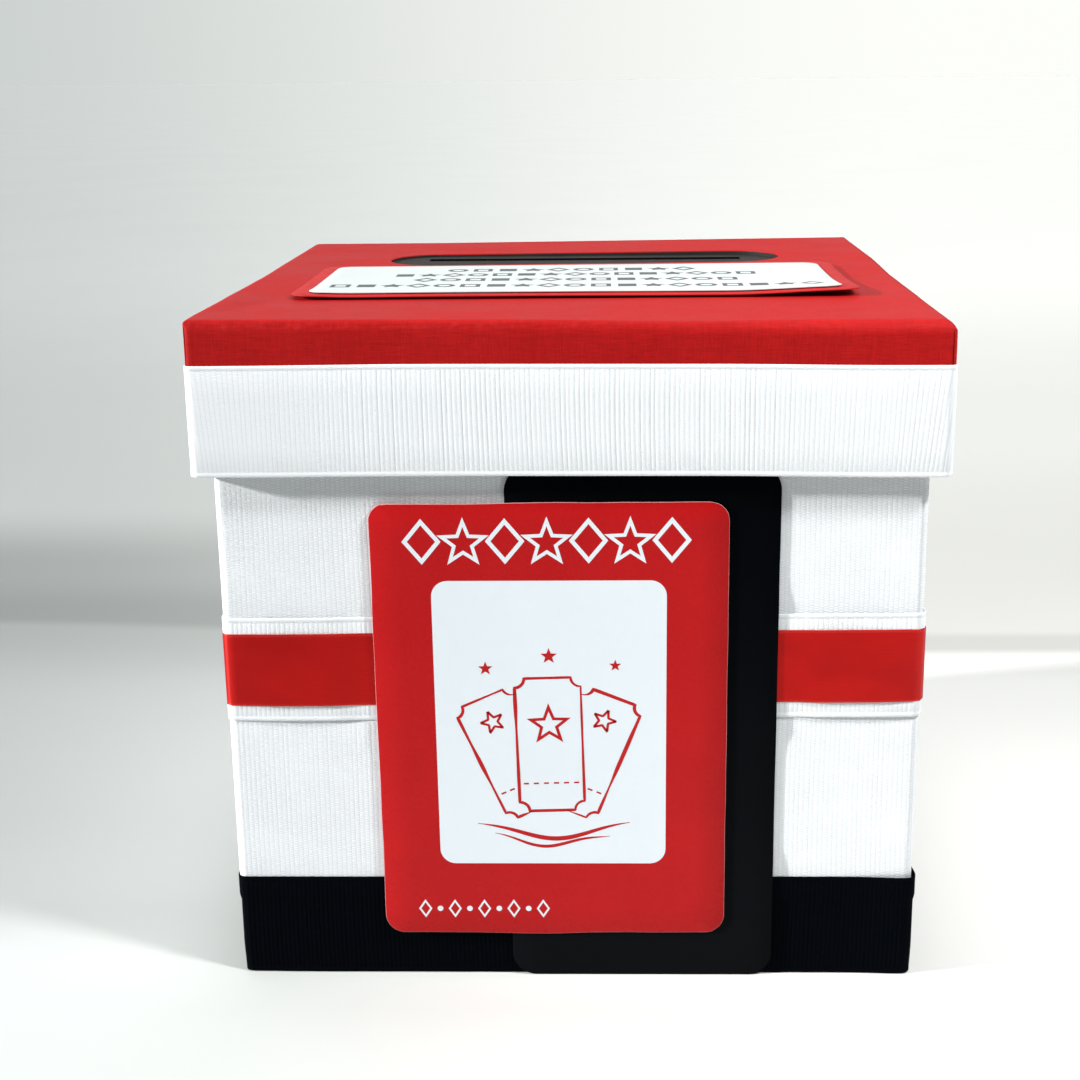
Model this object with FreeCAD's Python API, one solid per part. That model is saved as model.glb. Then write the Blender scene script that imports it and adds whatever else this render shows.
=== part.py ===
import FreeCAD, Part
import os

V = FreeCAD.Vector
os.makedirs("parts", exist_ok=True)

# Square rigid-board box with a lift-off lid and a card slot, dressed with
# ribbons and layered cards. Millimetres. +Z is up, the front faces -Y, and the
# origin is the middle of the foot, on the surface that the box stands on.

# ---------------------------------------------------------------- overall size
LID_W = 254.0            # lid over its cover paper, square
BOX_W = 241.4            # box over its wrap paper, square
HEIGHT = 240.0           # foot to the top of the lid's cover paper
LID_DEPTH = 51.3         # top of the lid to the lower edge of its ribbon
CORNER_R = 2.3           # outer vertical corner of the box wrap
LID_CORNER_R = 2.4       # outer vertical corner of the lid cover
LID_EDGE_R = 4.8         # top edge of the lid

# ---------------------------------------------------------------- sheet gauges
BOARD = 2.0              # wall board
LID_TOP_BOARD = 0.8      # lid top board
COVER = 0.3              # lid cover paper
STAY = 0.2               # corner tape
WRAP = 0.2               # box wrap paper
LINING = 0.2             # inner papers
BASE_SHEET = 0.5         # sheet under the floor
RIBBON = 0.5             # grosgrain
SATIN = 0.3              # satin
PLATE = 0.8              # slot card

# ---------------------------------------------------------------- ribbon bands
LID_RIBBON_W = 37.8
WIDE_RIBBON_W = 75.0
WAIST_Z0, WAIST_Z1 = 99.8, 137.6
SATIN_Z0, SATIN_Z1 = 105.4, 131.8
UPPER_Z0 = 131.5
LOWER_Z0 = 31.0
BLACK_Z0, BLACK_Z1 = 0.2, 38.7
LAP_W = 16.0             # overlapped tail of a ribbon, at the back

# ---------------------------------------------------------------- lid openings
PILL_L, PILL_W = 167.0, 41.0
PILL_X, PILL_Y = 3.5, 54.5
SLOT_L, SLOT_W = 135.0, 8.0
SLOT_X, SLOT_Y = 3.5, 62.0
PLATE_L, PLATE_D = 190.0, 64.0

# ---------------------------------------------------------------- lid label
MAT_L, MAT_D, MAT_R = 207.0, 93.0, 8.0
MAT_X, MAT_Y = 1.0, -23.0
CARD_L, CARD_D, CARD_R = 195.0, 81.0, 6.0
LABEL_PAD_T = 0.8
MAT_T = 0.4
CARD_T = 0.4

# ---------------------------------------------------------------- front cards
BLACK_CARD_X0, BLACK_CARD_X1 = -22.4, 71.2
BLACK_CARD_Z0, BLACK_CARD_Z1 = 0.2, 191.0
BLACK_CARD_R = 8.7
BLACK_CARD_BACK = -122.05
BLACK_CARD_T = 0.5
RED_CARD_X0, RED_CARD_X1 = -68.4, 53.85
RED_CARD_Z0, RED_CARD_Z1 = 17.5, 178.45
RED_CARD_R = 6.8
RED_CARD_BACK = -122.75
RED_CARD_T = 0.5

# ---------------------------------------------------------------- derived
LH = LID_W / 2.0                       # lid half width
BH = BOX_W / 2.0                       # box half width
COVER_IN = LH - COVER                  # inside of the lid cover
LID_BOARD_OUT = COVER_IN - STAY        # outside of the lid's side boards
LID_BOARD_IN = LID_BOARD_OUT - BOARD   # inside of the lid's side boards
LID_Z0 = HEIGHT - LID_DEPTH            # lower edge of the lid ribbon
LID_RIM_Z = LID_Z0 + 0.7               # lower edge of cover and boards
TOP_IN = HEIGHT - COVER                # underside of the cover on the lid top
BOARD_UNDER = TOP_IN - LID_TOP_BOARD   # underside of the lid top board
LID_CEILING = BOARD_UNDER - LINING     # underside of the lid lining
WRAP_IN = BH - WRAP                    # inside of the wrap
BOARD_OUT = WRAP_IN - STAY             # outside of the wall boards
BOARD_IN = BOARD_OUT - BOARD           # inside of the wall boards
RIM_Z = LID_CEILING                    # rim of the box, which carries the lid
BOARD_TOP = RIM_Z - WRAP               # top of the wall boards
WRAP_UNDER = BASE_SHEET                # underside of the wrap's foot flange
BOARD_Z0 = BASE_SHEET + WRAP           # bottom of the wall and floor boards
FLOOR_TOP = BOARD_Z0 + BOARD


# ---------------------------------------------------------------- helpers
def rounded_wire(x0, x1, y0, y1, r, z):
    """Closed rounded rectangle at height z."""
    if r <= 0:
        pts = [V(x0, y0, z), V(x1, y0, z), V(x1, y1, z), V(x0, y1, z), V(x0, y0, z)]
        return Part.makePolygon(pts)
    k = r * (1 - 2 ** -0.5)
    edges = []
    corners = [
        (V(x1 - r, y0, z), V(x1 - k, y0 + k, z), V(x1, y0 + r, z)),
        (V(x1, y1 - r, z), V(x1 - k, y1 - k, z), V(x1 - r, y1, z)),
        (V(x0 + r, y1, z), V(x0 + k, y1 - k, z), V(x0, y1 - r, z)),
        (V(x0, y0 + r, z), V(x0 + k, y0 + k, z), V(x0 + r, y0, z)),
    ]
    last = corners[-1][2]
    for a, m, b in corners:
        if last.distanceToPoint(a) > 1e-6:
            edges.append(Part.LineSegment(last, a).toShape())
        edges.append(Part.Arc(a, m, b).toShape())
        last = b
    return Part.Wire(edges)


def slab(x0, x1, y0, y1, z0, z1, r=0.0):
    """Flat rounded plate lying in XY."""
    face = Part.Face(rounded_wire(x0, x1, y0, y1, r, z0))
    return face.extrude(V(0, 0, z1 - z0))


def block(half, z0, z1, r=0.0):
    return slab(-half, half, -half, half, z0, z1, r)


def ring(outer, inner, z0, z1, r_out):
    """Square tube with concentric rounded corners."""
    r_in = max(0.0, r_out - (outer - inner))
    return block(outer, z0, z1, r_out).cut(block(inner, z0 - 1, z1 + 1, r_in))


def box(x0, x1, y0, y1, z0, z1):
    return Part.makeBox(x1 - x0, y1 - y0, z1 - z0, V(x0, y0, z0))


def upright_card(x0, x1, z0, z1, y_back, t, r):
    """Rounded card standing parallel to XZ; y_back is its rear face."""
    flat = slab(x0, x1, z0, z1, 0, t, r)
    flat.rotate(V(0, 0, 0), V(1, 0, 0), 90)
    flat.translate(V(0, y_back, 0))
    return flat


def joined(shapes):
    out = shapes[0]
    if len(shapes) > 1:
        out = out.fuse(shapes[1:])
    return out.removeSplitter()


def crowned(half, z0, z1, r_corner, r_edge):
    """Block whose four top edges are rounded and meet in a mitre over the
    rounded vertical corners."""
    w, k = half + 5, r_edge * (1 - 2 ** -0.5)

    def arch(p):
        top = Part.Arc(V(*p(-half, z1 - r_edge)), V(*p(-half + k, z1 - k)), V(*p(-half + r_edge, z1)))
        end = Part.Arc(V(*p(half - r_edge, z1)), V(*p(half - k, z1 - k)), V(*p(half, z1 - r_edge)))
        pts = [
            (V(*p(-half, z0 - 1)), V(*p(-half, z1 - r_edge))), top,
            (V(*p(-half + r_edge, z1)), V(*p(half - r_edge, z1))), end,
            (V(*p(half, z1 - r_edge)), V(*p(half, z0 - 1))), (V(*p(half, z0 - 1)), V(*p(-half, z0 - 1))),
        ]
        edges = [e.toShape() if not isinstance(e, tuple) else Part.LineSegment(*e).toShape() for e in pts]
        return Part.Face(Part.Wire(edges))

    front = arch(lambda a, z: (a, -w, z)).extrude(V(0, 2 * w, 0))
    side = arch(lambda a, z: (-w, a, z)).extrude(V(2 * w, 0, 0))
    return block(half, z0, z1, r_corner).common(front).common(side)


def save(name, shape):
    solids = shape.Solids
    shape = solids[0] if len(solids) == 1 else Part.makeCompound(solids)
    ok = shape.isValid() and all(s.Volume > 0 for s in solids)
    print(name, "solids", len(solids), "valid", ok, "volume", round(shape.Volume, 1))
    shape.exportStep("parts/%s.step" % name)


# ================================================================ the box
# Sheet glued under the floor: the face that the box stands on.
save("base_sheet", block(BOARD_IN - 0.4, 0, BASE_SHEET))

save("floor_board", block(BOARD_IN, BOARD_Z0, FLOOR_TOP))

# Four wall boards, cut from one square tube so that front and back run the
# full width and the sides fit between them.
walls = ring(BOARD_OUT, BOARD_IN, BOARD_Z0, BOARD_TOP, CORNER_R - WRAP - STAY)
far = BOARD_OUT + 5
save("front_wall_board", walls.common(box(-far, far, -far, -BOARD_IN, 0, HEIGHT)))
save("back_wall_board", walls.common(box(-far, far, BOARD_IN, far, 0, HEIGHT)))
save("left_wall_board", walls.common(box(-far, -BOARD_IN, -BOARD_IN, BOARD_IN, 0, HEIGHT)))
save("right_wall_board", walls.common(box(BOARD_IN, far, -BOARD_IN, BOARD_IN, 0, HEIGHT)))

# L strips of tape on the four outer corners of the boards.
STAY_LEG = 22.0
tape = ring(WRAP_IN, BOARD_OUT, BOARD_Z0 + 2, BOARD_TOP - 3, CORNER_R - WRAP)
c = WRAP_IN - STAY_LEG
stays = []
for sx in (-1, 1):
    for sy in (-1, 1):
        xs = sorted((sx * c, sx * far))
        ys = sorted((sy * c, sy * far))
        stays.append(tape.common(box(xs[0], xs[1], ys[0], ys[1], 0, HEIGHT)))
save("corner_stays", Part.makeCompound(stays))

# Covering paper: the four walls, turned under the floor and over the rim.
TURN_UNDER = 15.0
TURN_IN = 15.0
save(
    "box_wrap",
    joined(
        [
            ring(BH, WRAP_IN, WRAP_UNDER, RIM_Z, CORNER_R),
            ring(BH - 0.05, BH - TURN_UNDER, WRAP_UNDER, BOARD_Z0, CORNER_R - 0.05),
            ring(BH - 0.05, BOARD_IN - WRAP, BOARD_TOP, RIM_Z, CORNER_R - 0.05),
            ring(BOARD_IN, BOARD_IN - WRAP, BOARD_TOP - TURN_IN, RIM_Z, 0.0),
        ]
    ),
)

LINING_OUT = BOARD_IN - WRAP
save("wall_lining", ring(LINING_OUT, LINING_OUT - LINING, FLOOR_TOP + LINING, BOARD_TOP - 4, 0.0))
save("floor_lining", block(LINING_OUT, FLOOR_TOP, FLOOR_TOP + LINING))


# ---------------------------------------------------------------- ribbons
def lap(face, z0, z1, t, x):
    """Overlapped tail of a ribbon on the back face."""
    return box(x - LAP_W / 2, x + LAP_W / 2, face - 0.05, face + t, z0, z1)


L1 = BH                       # wide ribbons lie on the wrap
L2 = L1 + RIBBON              # narrow ribbons lie on the wide ones
L3 = L2 + RIBBON              # satin lies on the waist ribbon
R1 = CORNER_R + RIBBON
R2 = R1 + RIBBON
R3 = R2 + SATIN
WAIST_LAP_X = 0.0
UPPER_Z1 = UPPER_Z0 + WIDE_RIBBON_W
LOWER_Z1 = LOWER_Z0 + WIDE_RIBBON_W
# The tails of the wide ribbons stop clear of the narrow ribbons that cross them.
save(
    "upper_white_ribbon",
    joined([ring(L2, L1, UPPER_Z0, UPPER_Z1, R1), lap(L2, WAIST_Z1 + 0.3, UPPER_Z1, RIBBON, 6)]),
)
save(
    "lower_white_ribbon",
    joined([ring(L2, L1, LOWER_Z0, LOWER_Z1, R1), lap(L2, BLACK_Z1 + 0.3, WAIST_Z0 - 0.3, RIBBON, 4)]),
)
# The waist ribbon's tail stands proud above and below the satin that crosses it.
save(
    "waist_white_ribbon",
    joined(
        [
            ring(L3, L2, WAIST_Z0, WAIST_Z1, R2),
            lap(L3, WAIST_Z0, SATIN_Z0 - 0.2, RIBBON, -3),
            lap(L3, SATIN_Z1 + 0.2, WAIST_Z1, RIBBON, -3),
        ]
    ),
)
save(
    "red_satin_ribbon",
    joined([ring(L3 + SATIN, L3, SATIN_Z0, SATIN_Z1, R3), lap(L3 + SATIN, SATIN_Z0, SATIN_Z1, SATIN, 2)]),
)
# The black ribbon lies on the wrap at the foot and steps out over the lower
# edge of the white ribbon.
STEP_Z = LOWER_Z0 - 0.1
save(
    "black_base_ribbon",
    joined(
        [
            ring(L2, L1, BLACK_Z0, STEP_Z, R1),
            ring(L3, L1, STEP_Z - 1.0, STEP_Z, R2),
            ring(L3, L2, STEP_Z - 1.0, BLACK_Z1, R2),
            lap(L2, BLACK_Z0, STEP_Z - 0.5, RIBBON, -5),
            lap(L3, STEP_Z - 1.0, BLACK_Z1, RIBBON, -5),
        ]
    ),
)

# ---------------------------------------------------------------- front cards
PAD = 20.0


def pad(x, z, y_back, y_front, w=PAD, h=PAD):
    return box(x - w / 2, x + w / 2, y_front, y_back, z - h / 2, z + h / 2)


save(
    "black_backing_card",
    upright_card(
        BLACK_CARD_X0, BLACK_CARD_X1, BLACK_CARD_Z0, BLACK_CARD_Z1,
        BLACK_CARD_BACK, BLACK_CARD_T, BLACK_CARD_R,
    ),
)
save(
    "backing_card_pads",
    Part.makeCompound(
        [
            pad(x, z, -L2, BLACK_CARD_BACK)
            for x in (-8.0, 56.0)
            for z in (164.0, 82.0)
        ]
        + [pad(x, 16.0, -L2, BLACK_CARD_BACK) for x in (-4.0, 52.0)]
    ),
)
BLACK_CARD_FRONT = BLACK_CARD_BACK - BLACK_CARD_T
save(
    "front_card_pads",
    Part.makeCompound(
        [
            pad(x, z, BLACK_CARD_FRONT, RED_CARD_BACK)
            for x in (-9.0, 38.0)
            for z in (160.0, 98.0, 38.0)
        ]
    ),
)
save(
    "front_card_side_pads",
    Part.makeCompound([pad(-48.0, z, -L2, RED_CARD_BACK) for z in (160.0, 72.0)]),
)
save(
    "red_front_card",
    upright_card(
        RED_CARD_X0, RED_CARD_X1, RED_CARD_Z0, RED_CARD_Z1,
        RED_CARD_BACK, RED_CARD_T, RED_CARD_R,
    ),
)

# ================================================================ the lid
pill = slab(
    PILL_X - PILL_L / 2, PILL_X + PILL_L / 2, PILL_Y - PILL_W / 2, PILL_Y + PILL_W / 2,
    BOARD_UNDER - 3, HEIGHT + 2, PILL_W / 2 - 0.001,
)

board_hole = slab(
    PILL_X - PILL_L / 2 - COVER, PILL_X + PILL_L / 2 + COVER,
    PILL_Y - PILL_W / 2 - COVER, PILL_Y + PILL_W / 2 + COVER,
    BOARD_UNDER, TOP_IN, PILL_W / 2 + COVER - 0.001,
)

# Cover paper, turned down through the opening over the edge of the board.
outer = crowned(LH, LID_RIM_Z, HEIGHT, LID_CORNER_R, LID_EDGE_R)
inner = crowned(COVER_IN, LID_RIM_Z - 2, TOP_IN, LID_CORNER_R - COVER, LID_EDGE_R - COVER)
save("lid_cover", joined([outer.cut(inner).cut(pill), board_hole.cut(pill)]))

# Side boards with their top edge rubbed round; the top board lies between them
# and is thinned toward its rim in the same way.
LID_BOARD_Z0 = LID_RIM_Z
skirt = (
    block(LID_BOARD_OUT, LID_BOARD_Z0, TOP_IN, LID_CORNER_R - COVER - STAY)
    .common(inner)
    .cut(block(LID_BOARD_IN, LID_BOARD_Z0 - 1, HEIGHT + 1))
)
far = LH + 5
save("lid_front_board", skirt.common(box(-far, far, -far, -LID_BOARD_IN, 0, HEIGHT)))
save("lid_back_board", skirt.common(box(-far, far, LID_BOARD_IN, far, 0, HEIGHT)))
save("lid_left_board", skirt.common(box(-far, -LID_BOARD_IN, -LID_BOARD_IN, LID_BOARD_IN, 0, HEIGHT)))
save("lid_right_board", skirt.common(box(LID_BOARD_IN, far, -LID_BOARD_IN, LID_BOARD_IN, 0, HEIGHT)))
save("lid_top_board", block(LID_BOARD_IN, BOARD_UNDER, TOP_IN).common(inner).cut(board_hole))

tape = ring(COVER_IN, LID_BOARD_OUT, LID_RIM_Z + 2, HEIGHT - LID_EDGE_R - 0.2, LID_CORNER_R - COVER)
c = COVER_IN - STAY_LEG
stays = []
for sx in (-1, 1):
    for sy in (-1, 1):
        xs = sorted((sx * c, sx * far))
        ys = sorted((sy * c, sy * far))
        stays.append(tape.common(box(xs[0], xs[1], ys[0], ys[1], 0, HEIGHT)))
save("lid_corner_stays", Part.makeCompound(stays))

# Slot card, glued to the underside of the top board.
plate = slab(
    PILL_X - PLATE_L / 2, PILL_X + PLATE_L / 2, PILL_Y - PLATE_D / 2, PILL_Y + PLATE_D / 2,
    BOARD_UNDER - PLATE, BOARD_UNDER, 3.0,
)
slot = box(
    SLOT_X - SLOT_L / 2, SLOT_X + SLOT_L / 2, SLOT_Y - SLOT_W / 2, SLOT_Y + SLOT_W / 2,
    BOARD_UNDER - 3, HEIGHT,
)
save("slot_plate", plate.cut(slot))

# Inner paper of the lid, with a window round the slot card.
window = slab(
    PILL_X - PLATE_L / 2 - 1, PILL_X + PLATE_L / 2 + 1,
    PILL_Y - PLATE_D / 2 - 1, PILL_Y + PLATE_D / 2 + 1,
    BOARD_UNDER - 3, HEIGHT, 4.0,
)
save(
    "lid_lining",
    block(LID_BOARD_IN, LID_RIM_Z + 3, BOARD_UNDER)
    .cut(block(LID_BOARD_IN - LINING, LID_RIM_Z - 2, LID_CEILING))
    .cut(window),
)

save(
    "lid_white_ribbon",
    joined(
        [
            ring(LH + RIBBON, LH, LID_Z0, LID_Z0 + LID_RIBBON_W, LID_CORNER_R + RIBBON),
            lap(LH + RIBBON, LID_Z0, LID_Z0 + LID_RIBBON_W, RIBBON, 0),
        ]
    ),
)

# ---------------------------------------------------------------- lid label
z = HEIGHT
save(
    "label_pads",
    Part.makeCompound(
        [
            box(MAT_X + x - 10, MAT_X + x + 10, MAT_Y + y - 10, MAT_Y + y + 10, z, z + LABEL_PAD_T)
            for x in (-78, 0, 78)
            for y in (-24, 26)
        ]
    ),
)
z += LABEL_PAD_T
save("label_mat", slab(MAT_X - MAT_L / 2, MAT_X + MAT_L / 2, MAT_Y - MAT_D / 2, MAT_Y + MAT_D / 2, z, z + MAT_T, MAT_R))
z += MAT_T
save("label_card", slab(MAT_X - CARD_L / 2, MAT_X + CARD_L / 2, MAT_Y - CARD_D / 2, MAT_Y + CARD_D / 2, z, z + CARD_T, CARD_R))
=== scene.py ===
import math

import bpy
import numpy as np
from mathutils import Matrix, Vector


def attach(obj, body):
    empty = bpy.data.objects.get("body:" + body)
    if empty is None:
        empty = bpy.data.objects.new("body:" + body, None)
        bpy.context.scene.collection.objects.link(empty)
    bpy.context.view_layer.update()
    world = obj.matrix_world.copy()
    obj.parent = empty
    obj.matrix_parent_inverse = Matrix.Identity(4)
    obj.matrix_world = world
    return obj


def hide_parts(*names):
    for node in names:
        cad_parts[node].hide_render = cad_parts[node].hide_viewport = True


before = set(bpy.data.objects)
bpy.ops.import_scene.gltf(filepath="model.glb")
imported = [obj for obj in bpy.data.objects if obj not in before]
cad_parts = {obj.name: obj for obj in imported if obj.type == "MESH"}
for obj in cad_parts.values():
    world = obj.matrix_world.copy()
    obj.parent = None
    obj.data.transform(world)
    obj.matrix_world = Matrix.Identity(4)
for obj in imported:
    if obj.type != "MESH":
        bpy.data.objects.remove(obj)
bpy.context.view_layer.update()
scene = bpy.context.scene
MM = 0.001

# ------------------------------------------------------------------ sizes, mm
BOX = 120.7          # half width of the box over its wrap paper
BOX_R = 2.3          # its corner radius
LID = 127.0          # half width of the lid over its cover paper
LID_R = 2.4
TOP = 240.0
LID_Z0 = 188.7       # lower edge of the lid's ribbon
PILL_L, PILL_W, PILL_X, PILL_Y = 167.0, 41.0, 3.5, 54.5


# ------------------------------------------------------------------ noise
def noise1(x, size, seed):
    """Smooth noise from -1 to 1 along a line; size is the distance between its knots."""
    g = np.random.RandomState(seed).uniform(-1, 1, 2048)
    t = np.asarray(x, float) / size
    i = np.floor(t).astype(int)
    f = t - i
    f = f * f * (3 - 2 * f)
    return g[i % 2048] * (1 - f) + g[(i + 1) % 2048] * f


def noise2(x, y, size, seed):
    """Smooth noise from -1 to 1 over a plane."""
    g = np.random.RandomState(seed).uniform(-1, 1, (128, 128))
    x, y = np.broadcast_arrays(np.asarray(x, float) / size, np.asarray(y, float) / size)
    i, j = np.floor(x).astype(int), np.floor(y).astype(int)
    f, h = x - i, y - j
    f, h = f * f * (3 - 2 * f), h * h * (3 - 2 * h)
    a = g[i % 128, j % 128] * (1 - f) + g[(i + 1) % 128, j % 128] * f
    b = g[i % 128, (j + 1) % 128] * (1 - f) + g[(i + 1) % 128, (j + 1) % 128] * f
    return a * (1 - h) + b * h


def ease(x, a, b):
    """0 below a, 1 above b, smooth in between; b may be the smaller one."""
    t = np.clip((np.asarray(x, float) - a) / (b - a), 0, 1)
    return t * t * (3 - 2 * t)


# ------------------------------------------------------------------ meshes
def make(name, verts, groups, mats, body, attrs=None, sharp=None):
    """verts in mm; groups is [(faces, material index)], the faces an array (n, k) or a list of lists."""
    loops, totals, mat = [], [], []
    for faces, index in groups:
        if isinstance(faces, np.ndarray):
            loops.append(faces.ravel())
            totals.append(np.full(len(faces), faces.shape[1]))
        else:
            loops.append(np.array([i for f in faces for i in f]))
            totals.append(np.array([len(f) for f in faces]))
        mat.append(np.full(len(totals[-1]), index))
    loops, totals, mat = np.concatenate(loops), np.concatenate(totals), np.concatenate(mat)
    me = bpy.data.meshes.new(name)
    me.vertices.add(len(verts))
    me.vertices.foreach_set("co", (np.asarray(verts, np.float64) * MM).astype(np.float32).ravel())
    me.loops.add(len(loops))
    me.loops.foreach_set("vertex_index", loops.astype(np.int32))
    me.polygons.add(len(totals))
    me.polygons.foreach_set("loop_start", (np.cumsum(totals) - totals).astype(np.int32))
    me.polygons.foreach_set("loop_total", totals.astype(np.int32))
    me.polygons.foreach_set("material_index", mat.astype(np.int32))
    me.polygons.foreach_set("use_smooth", np.ones(len(totals), bool))
    for m in mats:
        me.materials.append(m)
    me.update(calc_edges=True)
    me.validate()
    for key, values in (attrs or {}).items():
        a = me.attributes.new(key, "FLOAT", "POINT")
        a.data.foreach_set("value", np.asarray(values, np.float32))
    if sharp is not None:
        me.set_sharp_from_angle(angle=math.radians(sharp))
    ob = bpy.data.objects.new(name, me)
    scene.collection.objects.link(ob)
    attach(ob, body)
    return ob


def tube_faces(rows, cols):
    """Quads of a rows x cols grid that closes on itself along its rows. Vertex = row * cols + col."""
    i = np.arange(rows)[:, None]
    j = np.arange(cols - 1)[None, :]
    n = (i + 1) % rows
    a, b = i * cols + j, i * cols + j + 1
    c, d = n * cols + j + 1, n * cols + j
    return np.stack(np.broadcast_arrays(a, b, c, d), -1).reshape(-1, 4)


# ------------------------------------------------------------------ node helpers
class Mat:
    """A material's nodes. Sockets take a number, a colour or another node's output."""

    def __init__(self, name, rough=0.6, spec=0.5, **sockets):
        self.m = bpy.data.materials.new(name)
        self.m.use_nodes = True
        self.t = self.m.node_tree
        self.p = self.t.nodes["Principled BSDF"]
        self.set(self.p, "Roughness", rough)
        self.set(self.p, "Specular IOR Level", spec)
        for key, value in sockets.items():
            self.set(self.p, key.replace("_", " "), value)

    def set(self, node, socket, value):
        s = node.inputs[socket]
        if isinstance(value, bpy.types.NodeSocket):
            self.t.links.new(value, s)
        elif isinstance(value, (tuple, list)) and len(value) == 3 and len(s.default_value) == 4:
            s.default_value = (*value, 1.0)
        else:
            s.default_value = value

    def node(self, kind, out=0, props=None, **inputs):
        n = self.t.nodes.new("ShaderNode" + kind)
        for key, value in (props or {}).items():
            setattr(n, key, value)
        for key, value in inputs.items():
            self.set(n, int(key[1:]) if key[0] == "i" and key[1:].isdigit() else key.replace("_", " "), value)
        return n.outputs[out]

    def math(self, op, a, b=None, c=None, clamp=False):
        n = self.t.nodes.new("ShaderNodeMath")
        n.operation = op
        n.use_clamp = clamp
        for k, v in enumerate((a, b, c)):
            if v is not None:
                self.set(n, k, v)
        return n.outputs[0]

    def attr(self, name):
        return self.node("Attribute", 2, {"attribute_type": "GEOMETRY", "attribute_name": name})

    def place(self):
        return self.node("TexCoord", 3)

    def xyz(self, vector):
        n = self.t.nodes.new("ShaderNodeSeparateXYZ")
        self.set(n, 0, vector)
        return n.outputs

    def vec(self, x, y, z):
        return self.node("CombineXYZ", 0, None, i0=x, i1=y, i2=z)

    def scaled(self, vector, scale):
        return self.node("Mapping", 0, None, Vector=vector, Scale=scale)

    def noise(self, vector, scale=1.0, detail=2.0, rough=0.5, distortion=0.0):
        return self.node("TexNoise", 0, None, Vector=vector, Scale=scale, Detail=detail, Roughness=rough, Distortion=distortion)

    def ramp(self, value, lo, hi, out_lo=0.0, out_hi=1.0):
        return self.node("MapRange", 0, {"interpolation_type": "SMOOTHSTEP"}, i0=value, i1=lo, i2=hi, i3=out_lo, i4=out_hi)

    def mix(self, factor, a, b, kind="MIX"):
        n = self.t.nodes.new("ShaderNodeMix")
        n.data_type = "RGBA"
        n.blend_type = kind
        n.clamp_factor = True
        self.set(n, 0, factor)
        self.set(n, 6, a)
        self.set(n, 7, b)
        return n.outputs[2]

    def bump(self, height, distance, normal=None, strength=1.0):
        n = self.t.nodes.new("ShaderNodeBump")
        self.set(n, "Strength", strength)
        self.set(n, "Distance", distance)
        self.set(n, "Height", height)
        if normal is not None:
            self.set(n, "Normal", normal)
        return n.outputs[0]

    def base(self, colour):
        self.set(self.p, "Base Color", colour)

    def normal(self, value):
        self.set(self.p, "Normal", value)


# ------------------------------------------------------------------ materials
def grosgrain(name, body, shade_and_fleck, tint, thread, thread_gap_shade, spec, sheen, weft=0.05, valley_shade=1.0):
    """Ribbed ribbon: the ribs are in the mesh; the material has the weft threads that wrap
    each rib, painted shade in the valley between two ribs and in the gaps between the threads,
    and slight unevenness of the dye. thread is the pitch of the threads across the ribbon in mm,
    thread_gap_shade how dark the painted shade in the gaps between them is, weft the height of a
    thread, valley_shade how dark the painted shade along the line between ribs is, and
    shade_and_fleck the colour of that painted shade and of the darker fibre flecks."""
    m = Mat(name, rough=0.78, spec=spec)
    m.set(m.p, "Sheen Weight", sheen)
    m.set(m.p, "Sheen Roughness", 0.45)
    rib, across, along = m.attr("rib"), m.attr("across"), m.attr("along")
    edge = m.attr("selvedge")
    frac = m.math("FRACT", rib)
    valley = m.math("MULTIPLY", m.math("ABSOLUTE", m.math("SUBTRACT", frac, 0.5)), 2.0)
    # threads wrap each rib and are set half a thread off on the next one
    half = m.math("MULTIPLY", m.math("MODULO", m.math("FLOOR", rib), 2.0), 0.5)
    wobble = m.noise(m.vec(m.math("MULTIPLY", along, 0.35), m.math("MULTIPLY", across, 0.9), 0.0), detail=1.0)
    turn = m.math("ADD", m.math("ADD", m.math("DIVIDE", across, thread), half), m.math("MULTIPLY", wobble, 0.9))
    wave = m.math("ADD", m.math("MULTIPLY", m.math("SINE", m.math("MULTIPLY", turn, math.tau)), 0.5), 0.5)
    fibre = m.noise(m.vec(m.math("MULTIPLY", along, 9.0), m.math("MULTIPLY", across, 14.0), 0.0), detail=3.0, rough=0.6)
    cloud = m.noise(m.vec(m.math("MULTIPLY", along, 0.035), m.math("MULTIPLY", across, 0.05), 3.0), detail=3.0)
    # painted shade: darker colour in the valley between two ribs and in the gaps between the weft threads
    dark = m.math("MULTIPLY", m.ramp(valley, 0.62, 1.0, 0.0, valley_shade), m.math("SUBTRACT", 1.0, m.math("MULTIPLY", edge, 0.85)))
    dark = m.math("ADD", dark, m.math("MULTIPLY", m.math("SUBTRACT", 1.0, wave), thread_gap_shade), clamp=True)
    colour = m.mix(dark, body, shade_and_fleck)
    colour = m.mix(m.ramp(cloud, 0.35, 0.7, 0.0, 0.55), colour, tint)
    colour = m.mix(m.math("MULTIPLY", m.ramp(fibre, 0.52, 0.8), 0.35), colour, shade_and_fleck)
    m.base(colour)
    m.set(m.p, "Roughness", m.ramp(fibre, 0.3, 0.7, 0.70, 0.86))
    height = m.math("ADD", m.math("MULTIPLY", wave, 1.0), m.math("MULTIPLY", fibre, 0.8))
    m.normal(m.bump(height, weft * MM, strength=0.8))
    return m.m


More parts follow.
